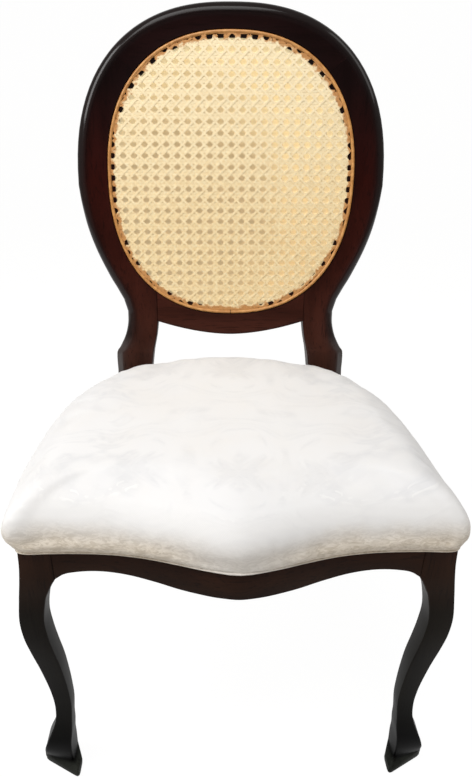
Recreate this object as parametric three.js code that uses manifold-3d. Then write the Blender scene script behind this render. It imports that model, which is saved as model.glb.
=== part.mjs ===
// Balloon back dining chair: dark mahogany frame, oval cane back, padded seat on a sawn frame.
// Millimetres, +Y to the back and +Z up. Left is -X, as seen from the front.
import * as THREE from 'three';
import { mergeGeometries, mergeVertices } from 'three/addons/utils/BufferGeometryUtils.js';
import Module from 'manifold-3d';

const wasm = await Module();
wasm.setup();

// Seat frame
const frameTop = 394;            // floor to the top edge of the seat rails
const frontSpread = 484;         // across the outer faces of the two front leg blocks
const legBlock = 36;             // side of the square block at the top of a front leg
const frameDepth = 401;          // front leg faces to the front faces of the back posts
const railHeight = 50;           // side and rear rails
const railEnd = 22;              // thickness of a side rail where it meets leg and post
const sideRailArch = 8;          // rise of a side rail's bottom edge at its middle
const frontRailHeight = 37;      // front rail at its middle
const frontRailBow = 37;         // how far the middle of the front rail stands forward
const frontRailBack = 24;        // front leg faces to the straight back of the front rail
const frontRailSetback = 1.5;    // ends of the front rail behind the leg faces
const rearRailThick = 24;
const rearRailSetback = 2;       // rear rail behind the front faces of the posts

// Back posts
const postSpread = 374;          // across the outer faces of the posts at the seat
const postWidth = 56;            // width of a post where it rises past the seat
const postThick = 32;            // front to back at the seat
const rearLegFoot = 28;          // front to back at the floor
const rearLegWidth = 30;         // across, at the floor
const rearLegRake = 56;          // how far the rear foot stands behind the seat joint
const postArris = 3;             // eased rear corners
const postChamfer = 8;           // outer front corner below the moulding

// Oval back, measured in its own leaning plane upwards from the seat line
const backLean = THREE.MathUtils.degToRad(9.25);
const seatLine = 430;            // height at which the leaning plane starts
const seatLineSet = 4;           // the plane's foot behind the seat joint
const frameThick = 30;           // oval frame, front to back
const openingHalf = 186;         // half width of the oval opening
const openingUp = 196.5;         // from its widest line to its top
const openingDown = 203.5;       // and to its bottom
const openingExponent = 2.32;    // 2 is an ellipse, and more is squarer
const rimExponent = 2.4;
const bandSide = 46;             // width of the frame beside the opening
const bandTop = 35;              // and above it
const rimDrop = 10;              // widest line of the rim below that of the opening
const crestTurn = THREE.MathUtils.degToRad(44);
const lowerRailHalf = 117.5;     // middle line to the joints of the lower back rail
const lowerRailBase = 61;        // bottom edge of the lower back rail at the middle
const lowerRailFace = 33.5;      // from that edge up to the opening
const lowerRailRise = 21;        // how far its bottom edge rises to its joints
const lowerRailCurve = 1.8;      // how late that edge turns up towards the joints, 1 is straight
const rollRadius = 14;           // rounded moulding along the outer edge
const quirkWidth = 4;            // shallow groove beside the roll
const quirkDepth = 1.2;
const bandSlope = 4.6;           // fall of the band from the roll to the opening
const lipWidth = 5.8;            // wooden lip behind the edge of the cane
const lipThick = 2.8;
const lipLevel = 5.5;            // lip behind the front of the roll
const grooveWidth = 6;
const grooveDepth = 5;
const rebateWidth = 4.2;         // step behind the lip that holds the lining

// Cane, spline and lining
const caneThick = 1.2;
const canePitch = 24;            // spacing of the gaps in the webbing
const caneGap = 14;              // clear width of one gap
const splineWidth = 5.4;
const splineProud = 3;           // spline above the lip
const splineSeat = 4.2;          // spline down in its groove
const liningThick = 4;
const gimpWidth = 7;
const gimpThick = 2.5;

// Padded seat
const padOverLegs = 12;          // widest line of the pad beyond the outer faces of the legs
const padOverRail = 10;          // middle of its front edge before the front rail
const padPastPosts = 13;         // middle of its rear edge behind the front faces of the posts
const padHeight = 79;
const padRound = 68;             // how far the edge rolls in to the flatter top
const coverThick = 1.5;
const boardThick = 12;
const boardInset = 9;            // edge of the board inside the widest line of the pad
const foldWidth = 10;            // cover turned in below the board
const dustCoverThick = 0.8;
const weltRadius = 1.8;
const weltInset = 5.2;           // centre of the welt inside the widest line of the pad
const weltRise = 1.7;            // and above the pad's underside

// Joints and fixings
const fit = 0.3;                 // clearance between pieces that touch
const dowelRadius = 4;
const dowelLength = 36;
const dowelInset = 11;           // dowels of the front rail behind the leg faces
const dowelSpacing = 14;
const dowelFromTop = 8;          // upper dowels below the frame's top
const sideDowelDrop = 7;         // dowels of the side rails lower than the front ones
const sideDowelSpacing = 22;
const backDowelSpacing = 19;
const blockHeight = 28;
const blockLeg = 60;             // length of a corner block along each rail
const screwRadius = 2;
const screwHead = 4;
const screwHeadThick = 2.5;
const blockScrewLength = 34;
const blockScrewBite = 16;       // part of a block screw that is in the rail
const seatScrewBite = 8;         // part of a seat screw that is in the board
const glideRadius = 11;
const glideThick = 3;
const glideNail = 1.2;
const glideNailLength = 14;
const legArris = 2.5;
const toeRound = 6.5;            // corners of the toe
const toeTop = 60;               // height at which the leg's corners start to round off to it
const overrun = 60;              // cutters run this far past the wood

// Fineness of the curves
const ovalSteps = 48;
const crestSteps = 14;
const postSteps = 7;             // of the oval's side, above the shoulder
const lowerRailSteps = 10;
const barSides = 8;
const glideSides = 12;
const fineSides = 6;             // nails and the welt

// Front leg, from the top down. Height is a share of the leg, the rest are shares of its block:
// outward and backward shift of the outer face and front face, width, depth,
// and how far the outer corners are drawn back behind the inner ones.
const frontLegShares = [
  [1.000, 0.000, 0.000, 1.000, 1.000, 0.000],
  [0.944, 0.040, 0.000, 1.040, 1.000, 0.000],
  [0.904, 0.095, 0.000, 1.095, 1.000, 0.000],
  [0.892, 0.115, 0.000, 1.112, 0.970, 0.000],
  [0.874, 0.145, 0.000, 1.030, 0.930, 0.000],
  [0.848, 0.195, 0.005, 0.950, 0.890, 0.000],
  [0.812, 0.260, 0.010, 0.860, 0.850, 0.000],
  [0.736, 0.360, -0.030, 0.820, 0.820, 0.000],
  [0.665, 0.330, -0.030, 0.820, 0.820, 0.000],
  [0.596, 0.220, 0.030, 0.790, 0.790, 0.000],
  [0.520, 0.080, 0.125, 0.750, 0.750, 0.000],
  [0.444, -0.040, 0.205, 0.690, 0.690, 0.000],
  [0.381, -0.125, 0.245, 0.640, 0.640, 0.000],
  [0.317, -0.165, 0.250, 0.610, 0.610, 0.000],
  [0.254, -0.110, 0.200, 0.610, 0.610, 0.000],
  [0.203, 0.070, 0.120, 0.750, 0.740, 0.000],
  [0.152, 0.300, 0.040, 0.910, 0.880, 0.030],
  [0.102, 0.480, 0.030, 1.060, 0.980, 0.120],
  [0.050, 0.620, 0.080, 1.200, 0.900, 0.330],
  [0.030, 0.670, -0.240, 1.450, 0.800, 0.740],
  [0.008, 0.680, -0.280, 1.490, 0.790, 0.790],
];

// Front rail, from the middle to the leg: place along the rail, bow of its front face and
// rise of its bottom edge above the middle, the last as a share of the rail's height.
const frontRailShares = [
  [0.00, 1.00, 0.00], [0.08, 0.94, -0.01], [0.17, 0.81, -0.03], [0.31, 0.58, -0.01], [0.44, 0.37, 0.08],
  [0.58, 0.19, 0.18], [0.70, 0.09, 0.23], [0.80, 0.04, 0.22], [0.89, 0.01, 0.15], [0.95, 0.00, 0.06],
  [1.00, 0.00, -0.13],
];

// Side rail, front to back: place along the rail and outer face, a share of the way
// from the post's outer face to the leg's.
const sideRailShares = [
  [0.00, 0.97], [0.18, 0.98], [0.34, 0.94], [0.50, 0.85], [0.64, 0.73], [0.76, 0.54], [0.87, 0.30],
  [1.00, 0.00],
];

// Shoulder of a post, beside the lower half of the oval: outer edge as shares of the rim's half
// width and of the height of its middle, and height of the inner edge as a share of the way
// from the top of the lower rail's joint to the middle of the opening.
const postShoulderShares = [
  [0.985, 0.905, 0.800],
  [0.954, 0.785, 0.600],
  [0.902, 0.663, 0.380],
  [0.828, 0.535, 0.208],
  [0.784, 0.472, 0.000],
  [0.740, 0.406, -0.137],
];

// Neck, from the joint down to the seat line. The outer edge is a share of the way from the joint
// to the post's outer face at the seat, and the inner edge from the joint to the inner face at the
// seat, each followed by its height as a share of the lower rail's. The last is what is left of
// the moulding.
const postNeckShares = [
  [0.700, 1.194, 0.000, 1.264, 1.00],
  [0.710, 0.962, 0.000, 1.000, 1.00],
  [0.780, 0.720, 0.165, 0.720, 1.00],
  [0.914, 0.485, 0.390, 0.474, 0.23],
  [0.990, 0.379, 0.454, 0.369, 0.00],
  [0.993, 0.000, 0.676, 0.000, 0.00],
];

// Rear leg below the seat line, going down: height as a share of the frame's top,
// rake as a share of the whole, and width and depth as shares of the way to the foot's.
const rearLegShares = [
  [1.040, 0.000, 0.20, 0.00], [1.000, 0.000, 0.42, 0.00], [0.860, 0.000, 0.42, 0.00],
  [0.740, 0.050, 0.54, 0.20], [0.600, 0.150, 0.65, 0.40], [0.450, 0.310, 0.75, 0.58],
  [0.300, 0.500, 0.84, 0.75], [0.150, 0.730, 0.93, 0.88], [0.008, 1.000, 1.00, 1.00],
];

// Plan of the pad from the middle of its front edge to the side: across as a share of the half
// width, back as a share of the way to the front faces of the posts.
const padFrontShares = [
  [0.000, 0.000], [0.140, 0.015], [0.280, 0.040], [0.420, 0.063], [0.560, 0.076], [0.700, 0.081],
  [0.840, 0.081], [0.930, 0.079], [0.975, 0.085], [0.994, 0.105], [1.000, 0.144],
];

// From there along the side and round the rear corner: across as a share of the way from the
// inner faces of the posts to the side, back as before.
const padSideShares = [
  [1.000, 0.226], [0.996, 0.340], [0.974, 0.463], [0.931, 0.581], [0.849, 0.700], [0.711, 0.803],
  [0.552, 0.887], [0.364, 0.945], [0.138, 0.983], [0.000, 0.991],
];

// Rear edge between the posts: across as a share of the half width there, back as a share of
// how far the pad stands past their faces.
const padTailShares = [[0.600, 0.645], [0.000, 1.000]];

// Section of the pad from its bottom edge up to the crown: inset as a share of the roll,
// height as a share of the pad's.
const padSectionShares = [
  [0.175, 0.000], [0.110, 0.030], [0.040, 0.120], [0.000, 0.260], [0.010, 0.400], [0.110, 0.560],
  [0.260, 0.710], [0.440, 0.815], [0.680, 0.890], [1.100, 0.950], [2.200, 0.990],
];

const finish = {
  mahogany: new THREE.MeshStandardMaterial({ color: 0x2b1512, roughness: 0.3, metalness: 0 }),
  beech: new THREE.MeshStandardMaterial({ color: 0xb48a5a, roughness: 0.7, metalness: 0 }),
  plywood: new THREE.MeshStandardMaterial({ color: 0xc09a68, roughness: 0.8, metalness: 0 }),
  cane: new THREE.MeshStandardMaterial({ color: 0xead2a2, roughness: 0.55, metalness: 0 }),
  reed: new THREE.MeshStandardMaterial({ color: 0xc98f52, roughness: 0.5, metalness: 0 }),
  lining: new THREE.MeshStandardMaterial({ color: 0xc9ac7c, roughness: 0.9, metalness: 0 }),
  damask: new THREE.MeshStandardMaterial({ color: 0xeae6df, roughness: 0.6, metalness: 0 }),
  foam: new THREE.MeshStandardMaterial({ color: 0xe8dfae, roughness: 0.95, metalness: 0 }),
  cambric: new THREE.MeshStandardMaterial({ color: 0x26262a, roughness: 0.95, metalness: 0 }),
  steel: new THREE.MeshStandardMaterial({ color: 0xb9b2a0, roughness: 0.35, metalness: 1 }),
  nylon: new THREE.MeshStandardMaterial({ color: 0x2d2a28, roughness: 0.6, metalness: 0 }),
};

const chair = new THREE.Group();

function place(name, geometry, material) {
  const mesh = new THREE.Mesh(geometry, material);
  mesh.name = name;
  chair.add(mesh);
}

function vector(x, y, z) {
  return new THREE.Vector3(x, y, z);
}

// Closed body through a row of rings with equal counts of points. A loop joins the last ring to
// the first, and any other row is closed by a fan at each end.
function loft(rings, loop = false) {
  const count = rings[0].length;
  const points = rings.flat();
  const index = [];
  const spans = loop ? rings.length : rings.length - 1;
  for (let ring = 0; ring < spans; ring += 1) {
    const lower = ring * count;
    const upper = ((ring + 1) % rings.length) * count;
    for (let i = 0; i < count; i += 1) {
      const j = (i + 1) % count;
      index.push(lower + i, lower + j, upper + j, lower + i, upper + j, upper + i);
    }
  }
  if (!loop) {
    for (const ring of [0, rings.length - 1]) {
      const centre = vector(0, 0, 0);
      rings[ring].forEach((point) => centre.addScaledVector(point, 1 / count));
      const hub = points.push(centre) - 1;
      for (let i = 0; i < count; i += 1) {
        const a = ring * count + i;
        const b = ring * count + ((i + 1) % count);
        index.push(...(ring === 0 ? [b, a, hub] : [a, b, hub]));
      }
    }
  }
  return facingOut(points, index);
}

function facingOut(points, index) {
  let volume = 0;
  for (let i = 0; i < index.length; i += 3) {
    const [a, b, c] = [points[index[i]], points[index[i + 1]], points[index[i + 2]]];
    volume += a.dot(b.clone().cross(c));
  }
  if (volume < 0) index.reverse();
  const geometry = new THREE.BufferGeometry().setFromPoints(points);
  geometry.setIndex(index);
  return geometry;
}

function solidOf(geometry) {
  const bare = geometry.clone();
  bare.deleteAttribute('normal');
  bare.deleteAttribute('uv');
  const merged = mergeVertices(bare);
  return new wasm.Manifold(new wasm.Mesh({
    numProp: 3,
    vertProperties: merged.attributes.position.array,
    triVerts: new Uint32Array(merged.index.array),
  }));
}

function geometryOf(solid) {
  const { vertProperties, triVerts } = solid.getMesh();
  const geometry = new THREE.BufferGeometry();
  geometry.setAttribute('position', new THREE.BufferAttribute(vertProperties, 3));
  geometry.setIndex(new THREE.BufferAttribute(triVerts, 1));
  return geometry;
}

function cutAway(geometry, cutters) {
  return geometryOf(cutters.reduce((wood, cutter) => wood.subtract(solidOf(cutter)), solidOf(geometry)));
}

// Round bar from one point to another
function bar(start, end, radius, facets = barSides) {
  const along = end.clone().sub(start);
  const geometry = new THREE.CylinderGeometry(radius, radius, along.length(), facets);
  const turn = new THREE.Quaternion().setFromUnitVectors(vector(0, 1, 0), along.clone().normalize());
  const middle = start.clone().add(end).multiplyScalar(0.5);
  return geometry.applyQuaternion(turn).translate(middle.x, middle.y, middle.z);
}

// A dowel lies across a joint with half its length in each piece
function dowel(joint) {
  const half = joint.along.clone().multiplyScalar(dowelLength / 2);
  return bar(joint.at.clone().sub(half), joint.at.clone().add(half), dowelRadius);
}

function dowelHole(joint) {
  const half = joint.along.clone().multiplyScalar(dowelLength / 2 + fit);
  return bar(joint.at.clone().sub(half), joint.at.clone().add(half), dowelRadius + fit);
}

// A screw from its head's outer face along a direction
function screw({ head, along, length }) {
  const neck = head.clone().addScaledVector(along, screwHeadThick);
  const tip = head.clone().addScaledVector(along, length);
  return geometryOf(solidOf(bar(head, neck, screwHead)).add(solidOf(bar(head, tip, screwRadius))));
}

function screwHole({ head, along, length }) {
  const mouth = head.clone().addScaledVector(along, -overrun);
  const neck = head.clone().addScaledVector(along, screwHeadThick + fit);
  const tip = head.clone().addScaledVector(along, length + fit);
  const wide = solidOf(bar(mouth, neck, screwHead + fit));
  return geometryOf(wide.add(solidOf(bar(mouth, tip, screwRadius + fit))));
}

const sides = [{ name: 'left', side: -1 }, { name: 'right', side: 1 }];
const blockFace = frontSpread / 2 - legBlock;
const railBottom = frameTop - railHeight;
const upperDowel = frameTop - dowelFromTop;
const rearLegInner = (share) => postSpread / 2 - THREE.MathUtils.lerp(postWidth, rearLegWidth, share);
const postInner = rearLegInner(rearLegShares[0][2]);
const rearRailHalf = rearLegInner(rearLegShares[1][2]);
const sideRailFrontX = (frontSpread - railEnd) / 2;
const sideRailRearX = postSpread / 2 - railEnd / 2 - dowelRadius / 2;
const padBottom = frameTop + fit;
const boardBottom = padBottom + coverThick + fit;
const boardTop = boardBottom + boardThick;

// Joints of the seat frame
function frontRailJoints(side) {
  return [upperDowel, upperDowel - dowelSpacing].map((z) => ({
    at: vector(side * blockFace, dowelInset, z), along: vector(1, 0, 0),
  }));
}

function sideRailJoints(y, x, side) {
  const upper = upperDowel - sideDowelDrop;
  return [upper, upper - sideDowelSpacing].map((z) => ({
    at: vector(side * x, y, z), along: vector(0, 1, 0),
  }));
}

function rearRailJoints(side) {
  const y = frameDepth + rearRailSetback + rearRailThick / 2;
  return [upperDowel, upperDowel - sideDowelSpacing].map((z) => ({
    at: vector(side * rearRailHalf, y, z), along: vector(1, 0, 0),
  }));
}

// Front leg: sawn square section that sweeps out at the knee, in at the ankle and
// turns outwards to a broad toe
function frontLegCorners(share) {
  const [height, outward, backward, width, depth, drawn] = share;
  const z = Math.max(height * frameTop, glideThick);
  const outer = frontSpread / 2 + outward * legBlock;
  const inner = outer - width * legBlock;
  const front = backward * legBlock;
  const back = front + depth * legBlock;
  return [
    vector(outer, front + drawn * legBlock, z),
    vector(inner, front, z),
    vector(inner, back, z),
    vector(outer, back + drawn * legBlock, z),
  ];
}

// Ring with each corner of a four-sided section eased
function easedRing(corners, ease) {
  return corners.flatMap((corner, i) => {
    const before = corners[(i + corners.length - 1) % corners.length];
    const after = corners[(i + 1) % corners.length];
    return [before, after].map((other) => {
      const away = other.clone().sub(corner);
      return corner.clone().addScaledVector(away.normalize(), ease);
    });
  });
}

function mirrored(side) {
  return (point) => point.setX(point.x * side);
}

function glideJoint(corners, side) {
  const centre = vector(0, 0, 0);
  corners.forEach((corner) => centre.addScaledVector(corner, 1 / corners.length));
  return vector(centre.x * side, centre.y, 0);
}

const frontFoot = frontLegCorners(frontLegShares.at(-1));

function frontLeg(side) {
  const rings = frontLegShares.map((share) => {
    const ankle = THREE.MathUtils.smoothstep(share[0] * frameTop, 0, toeTop);
    const ease = THREE.MathUtils.lerp(toeRound, legArris, ankle);
    return easedRing(frontLegCorners(share), ease).map(mirrored(side));
  });
  const joints = [...frontRailJoints(side), ...sideRailJoints(legBlock, sideRailFrontX, side)];
  const holes = joints.map(dowelHole);
  return cutAway(loft(rings), [...holes, glideHole(glideJoint(frontFoot, side))]);
}

// Nail-on glide under each foot
function glide(foot) {
  const top = foot.clone().setZ(glideThick - fit);
  const tip = foot.clone().setZ(glideThick + glideNailLength);
  const pad = solidOf(bar(foot, top, glideRadius, glideSides));
  return geometryOf(pad.add(solidOf(bar(foot, tip, glideNail, fineSides))));
}

function glideHole(foot) {
  return bar(foot, foot.clone().setZ(glideThick + glideNailLength + fit), glideNail + fit, fineSides);
}

// Front rail: serpentine face with a soft point, straight back, bottom edge that
// sweeps down to the legs
function frontRail() {
  const half = frontRailShares.map(([along, bow, rise]) => ({
    x: along * (blockFace - fit),
    front: frontRailSetback - bow * (frontRailBow + frontRailSetback),
    bottom: frameTop - frontRailHeight + rise * frontRailHeight,
  }));
  const stations = [...half.slice(1).reverse().map((row) => ({ ...row, x: -row.x })), ...half];
  const rings = stations.map(({ x, front, bottom }) => easedRing([
    vector(x, front, bottom), vector(x, front, frameTop),
    vector(x, frontRailBack, frameTop), vector(x, frontRailBack, bottom),
  ], legArris / 2));
  const holes = sides.flatMap(({ side }) => frontRailJoints(side).map(dowelHole));
  return cutAway(loft(rings), holes);
}

// Side rail: bowed outside, straight inside
function sideRail(side) {
  const legOuter = frontSpread / 2;
  const postOuter = postSpread / 2;
  const start = legBlock + fit;
  const length = frameDepth - legBlock - 2 * fit;
  const rings = sideRailShares.map(([along, bow]) => {
    const y = start + along * length;
    const outer = postOuter + bow * (legOuter - postOuter);
    const inner = sideRailInner(y);
    const bottom = railBottom + sideRailArch * Math.sin(Math.PI * along);
    return easedRing([
      vector(outer, y, bottom), vector(outer, y, frameTop),
      vector(inner, y, frameTop), vector(inner, y, bottom),
    ], legArris / 2).map(mirrored(side));
  });
  const holes = [
    ...sideRailJoints(legBlock, sideRailFrontX, side).map(dowelHole),
    ...sideRailJoints(frameDepth, sideRailRearX, side).map(dowelHole),
    screwHole(blockScrew(frontBlock, side)), screwHole(blockScrew(rearBlock, side)),
  ];
  return cutAway(loft(rings), holes);
}

function sideRailInner(y) {
  const atLeg = frontSpread / 2 - railEnd;
  const atPost = postSpread / 2 - railEnd - dowelRadius;
  return THREE.MathUtils.mapLinear(y, legBlock, frameDepth, atLeg, atPost);
}

// Rear rail between the posts
function rearRail() {
  const front = frameDepth + rearRailSetback;
  const back = front + rearRailThick;
  const rings = [fit - rearRailHalf, rearRailHalf - fit].map((x) => easedRing([
    vector(x, front, railBottom), vector(x, front, frameTop),
    vector(x, back, frameTop), vector(x, back, railBottom),
  ], legArris / 2));
  const holes = sides.flatMap(({ side }) => rearRailJoints(side).map(dowelHole));
  return cutAway(loft(rings), holes);
}

// Places of the block screws along the legs of the front and rear blocks
const screwShares = [0.5, 0.4];

// Corner blocks. An outline on the +X side runs from the corner to the end along one rail and
// then along the other. Screw places are shares of the block's legs, and the seat screw's
// shares weigh the corner and the two ends.
const blockTop = frameTop - fit;
const crossBack = frameDepth + rearRailSetback;
const frontBlock = {
  outline: [
    [blockFace - fit, frontRailBack + fit], [blockFace - blockLeg, frontRailBack + fit],
    [sideRailInner(legBlock + blockLeg) - fit, legBlock + blockLeg],
    [sideRailInner(legBlock) - fit, legBlock + fit], [blockFace - fit, legBlock + fit],
  ],
  along: THREE.MathUtils.lerp(legBlock, legBlock + blockLeg, screwShares[0]),
  seatShares: [0.5, 0.25, 0.25],
};
const rearBlock = {
  outline: [
    [sideRailInner(frameDepth) - fit, frameDepth - fit],
    [sideRailInner(frameDepth - blockLeg) - fit, frameDepth - blockLeg],
    [rearRailHalf - blockLeg, crossBack - fit], [rearRailHalf - fit, crossBack - fit],
    [rearRailHalf - fit, frameDepth - fit],
  ],
  along: THREE.MathUtils.lerp(frameDepth, frameDepth - blockLeg, screwShares[1]),
  seatShares: [0.16, 0.64, 0.20],
};

// Each block is glued to both rails and screwed to the side rail
function blockScrew(block, side) {
  const head = sideRailInner(block.along) - (blockScrewLength - blockScrewBite);
  return {
    head: vector(side * head, block.along, blockTop - blockHeight / 2),
    along: vector(side, 0, 0),
    length: blockScrewLength,
  };
}

function seatScrew(block, side) {
  const ends = block.outline.slice(0, 3);
  const weigh = (axis) => ends.reduce((sum, end, i) => sum + end[axis] * block.seatShares[i], 0);
  const head = blockTop - blockHeight + screwHeadThick;
  return {
    head: vector(side * weigh(0), weigh(1), head),
    along: vector(0, 0, 1),
    length: boardBottom + seatScrewBite - head,
  };
}

function cornerBlock(block, side) {
  const shape = new THREE.Shape(block.outline.map(([x, y]) => new THREE.Vector2(side * x, y)));
  const geometry = new THREE.ExtrudeGeometry(shape, { depth: blockHeight, bevelEnabled: false });
  geometry.translate(0, 0, blockTop - blockHeight);
  return cutAway(geometry, [blockScrew(block, side), seatScrew(block, side)].map(screwHole));
}

// Places in the leaning plane of the back: across, up the plane, and behind its face
const planeFoot = frameDepth + seatLineSet;
const upPlane = vector(0, Math.sin(backLean), Math.cos(backLean));
const behindPlane = vector(0, Math.cos(backLean), -Math.sin(backLean));

function onBack(x, up, behind) {
  return vector(x, planeFoot, seatLine).addScaledVector(upPlane, up).addScaledVector(behindPlane, behind);
}

function ovalPoint(oval, grow, turn) {
  const power = 2 / oval.exponent;
  const reach = (share) => Math.sign(share) * Math.abs(share) ** power;
  const rise = Math.sin(turn) > 0 ? oval.up : oval.down;
  return new THREE.Vector2(
    reach(Math.cos(turn)) * (oval.half + grow),
    oval.middle + reach(Math.sin(turn)) * (rise + grow),
  );
}

// The opening stands over the lower rail, and the rim round it
const opening = {
  half: openingHalf,
  up: openingUp,
  down: openingDown,
  middle: lowerRailBase + lowerRailFace + openingDown,
  exponent: openingExponent,
};
const rim = {
  half: openingHalf + bandSide,
  up: openingUp + bandTop + rimDrop,
  down: openingDown,
  middle: opening.middle - rimDrop,
  exponent: rimExponent,
};
const lowerRailEnd = lowerRailBase + lowerRailRise;

// What is left of one radius of the opening at a place along the other
function leftOf(radius, place, along) {
  return radius * (1 - Math.abs(place / along) ** opening.exponent) ** (1 / opening.exponent);
}

const ovalTurns = Array.from({ length: ovalSteps }, (_, i) => ((i + 0.5) / ovalSteps) * 2 * Math.PI);

// Plate of the oval's shape between two depths behind the plane's face
function ovalPlate(grow, front, back) {
  const across = ovalTurns.map((turn) => ovalPoint(opening, grow, turn));
  return loft([front, back].map((depth) => across.map(({ x, y }) => onBack(x, y, depth))));
}

function ovalBand(inner, outer, front, back) {
  return loft(ovalTurns.map((turn) => [[inner, front], [outer, front], [outer, back], [inner, back]].map(
    ([grow, depth]) => {
      const { x, y } = ovalPoint(opening, grow, turn);
      return onBack(x, y, depth);
    },
  )), true);
}

// What the frame's wood gives up round the opening: the step down to the lip, the groove of
// the spline, the way through and the rebate of the lining
const lipEdge = -(grooveWidth + lipWidth);
const rebateEdge = lipEdge + rebateWidth;

function openingCutters() {
  return [
    ovalPlate(0, -overrun, lipLevel),
    ovalBand(-grooveWidth, 0, lipLevel - fit, lipLevel + grooveDepth),
    ovalPlate(lipEdge, 0, frameThick + overrun),
    ovalPlate(rebateEdge, lipLevel + lipThick, frameThick + overrun),
  ];
}

// Section of the frame from its outer edge to its inner one. The moulding is 1 on the oval
// and 0 where the post is plain.
function frameSection(outer, inner, moulding, thick, set) {
  const width = outer.distanceTo(inner);
  const towards = inner.clone().sub(outer).divideScalar(width);
  const roll = THREE.MathUtils.lerp(postChamfer, rollRadius, moulding);
  const quirk = quirkDepth * moulding;
  const easing = THREE.MathUtils.lerp(0.5, 1 - Math.SQRT1_2, moulding);
  return [
    [0, thick - postArris], [0, roll], [roll * easing, roll * easing], [roll, 0],
    [roll + quirkWidth / 2, quirk / 2], [roll + quirkWidth, quirk], [width, bandSlope * moulding],
    [width, thick], [postArris, thick],
  ].map(([across, behind]) => set(outer.clone().addScaledVector(towards, across), behind));
}

function ovalStation(turn) {
  return frameSection(ovalPoint(rim, 0, turn), ovalPoint(opening, lipEdge - fit, turn), 1, frameThick,
    ({ x, y }, behind) => onBack(x, y, behind));
}

// Two dowels cross a joint at a turn of the oval
function crestJoints(side) {
  const turn = crestTurn;
  const outer = ovalPoint(rim, 0, turn);
  const inner = ovalPoint(opening, 0, turn);
  const middle = outer.clone().add(inner).multiplyScalar(0.5);
  const across = inner.clone().sub(outer).normalize();
  const along = new THREE.Vector2(-across.y, across.x);
  const depth = (frameThick + lipLevel) / 2;
  return [-0.5, 0.5].map((half) => {
    const at = middle.clone().addScaledVector(across, half * backDowelSpacing);
    return {
      at: onBack(side * at.x, at.y, depth),
      along: vector(side * along.x, 0, 0).addScaledVector(upPlane, along.y),
    };
  });
}

// Lowest height of the opening's edge across from the middle line
function openingFloor(x, grow) {
  return opening.middle - leftOf(opening.down + grow, x, opening.half + grow);
}

function lowerRailJoints(side) {
  const low = lowerRailEnd + dowelRadius * 2;
  return [low, low + backDowelSpacing].map((up) => ({
    at: onBack(side * lowerRailHalf, up, (frameThick + lipLevel) / 2), along: vector(1, 0, 0),
  }));
}

// Crest: the top of the oval between two slanting joints
function crestRail() {
  const play = fit / rim.half;
  const from = crestTurn + play;
  const rings = Array.from({ length: crestSteps + 1 }, (_, i) => (
    ovalStation(THREE.MathUtils.lerp(from, Math.PI - from, i / crestSteps))
  ));
  const holes = sides.flatMap(({ side }) => crestJoints(side).map(dowelHole));
  return cutAway(loft(rings), [...openingCutters(), ...holes]);
}

// Lower back rail: the bottom of the oval between upright joints at the posts
function lowerBackRail() {
  const half = lowerRailHalf - fit;
  const rings = Array.from({ length: lowerRailSteps + 1 }, (_, i) => {
    const share = (2 * i) / lowerRailSteps - 1;
    const base = lowerRailBase + (lowerRailEnd - lowerRailBase) * Math.abs(share) ** lowerRailCurve;
    const x = share * half;
    const top = openingFloor(x, lipEdge) + fit;
    return frameSection(new THREE.Vector2(x, base), new THREE.Vector2(x, top), 1, frameThick,
      ({ x: across, y: up }, behind) => onBack(across, up, behind));
  });
  const holes = sides.flatMap(({ side }) => lowerRailJoints(side).map(dowelHole));
  return cutAway(loft(rings), [...openingCutters(), ...holes]);
}

// Back post: rear leg, neck and side of the oval from one sawn plank
function rearLegStation(share) {
  const [height, rake, widthShare, depthShare] = share;
  const z = Math.max(height * frameTop, glideThick);
  const front = frameDepth + rake * rearLegRake;
  const outer = new THREE.Vector2(postSpread / 2, 0);
  const inner = new THREE.Vector2(rearLegInner(widthShare), 0);
  const depth = THREE.MathUtils.lerp(postThick, rearLegFoot, depthShare);
  return frameSection(outer, inner, 0, depth, ({ x }, behind) => vector(x, front + behind, z));
}

function postStations() {
  const oval = Array.from({ length: postSteps }, (_, i) => (
    ovalStation(THREE.MathUtils.lerp(crestTurn, 0, i / postSteps))
  ));
  const onPost = ({ x, y }, behind) => onBack(x, y, behind);
  const jointTop = openingFloor(lowerRailHalf, lipEdge);
  const shoulder = postShoulderShares.map(([outerX, outerUp, innerShare]) => {
    const outer = new THREE.Vector2(outerX * rim.half, outerUp * rim.middle);
    const innerUp = THREE.MathUtils.lerp(jointTop, opening.middle, innerShare);
    const below = Math.min(opening.middle - innerUp, opening.down + lipEdge);
    const lip = leftOf(opening.half + lipEdge - fit, below, opening.down + lipEdge);
    const inner = new THREE.Vector2(Math.max(lip, lowerRailHalf), innerUp);
    return frameSection(outer, inner, 1, frameThick, onPost);
  });
  const neck = postNeckShares.map(([outerX, outerUp, innerX, innerUp, moulding]) => {
    const outer = new THREE.Vector2(
      THREE.MathUtils.lerp(lowerRailHalf, postSpread / 2, outerX), outerUp * lowerRailEnd,
    );
    const inner = new THREE.Vector2(
      THREE.MathUtils.lerp(lowerRailHalf, postInner, innerX), innerUp * lowerRailEnd,
    );
    const thick = THREE.MathUtils.lerp(postThick, frameThick, moulding);
    return frameSection(outer, inner, moulding, thick, onPost);
  });
  return [...oval, ...shoulder, ...neck, ...rearLegShares.map(rearLegStation)];
}

const rearFoot = rearLegStation(rearLegShares.at(-1));

function backPost(side) {
  const rings = postStations().map((ring) => ring.map(mirrored(side)));
  const holes = [
    ...crestJoints(side), ...lowerRailJoints(side), ...rearRailJoints(side),
    ...sideRailJoints(frameDepth, sideRailRearX, side),
  ].map(dowelHole);
  return cutAway(loft(rings), [...openingCutters(), ...holes, glideHole(glideJoint(rearFoot, side))]);
}

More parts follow.
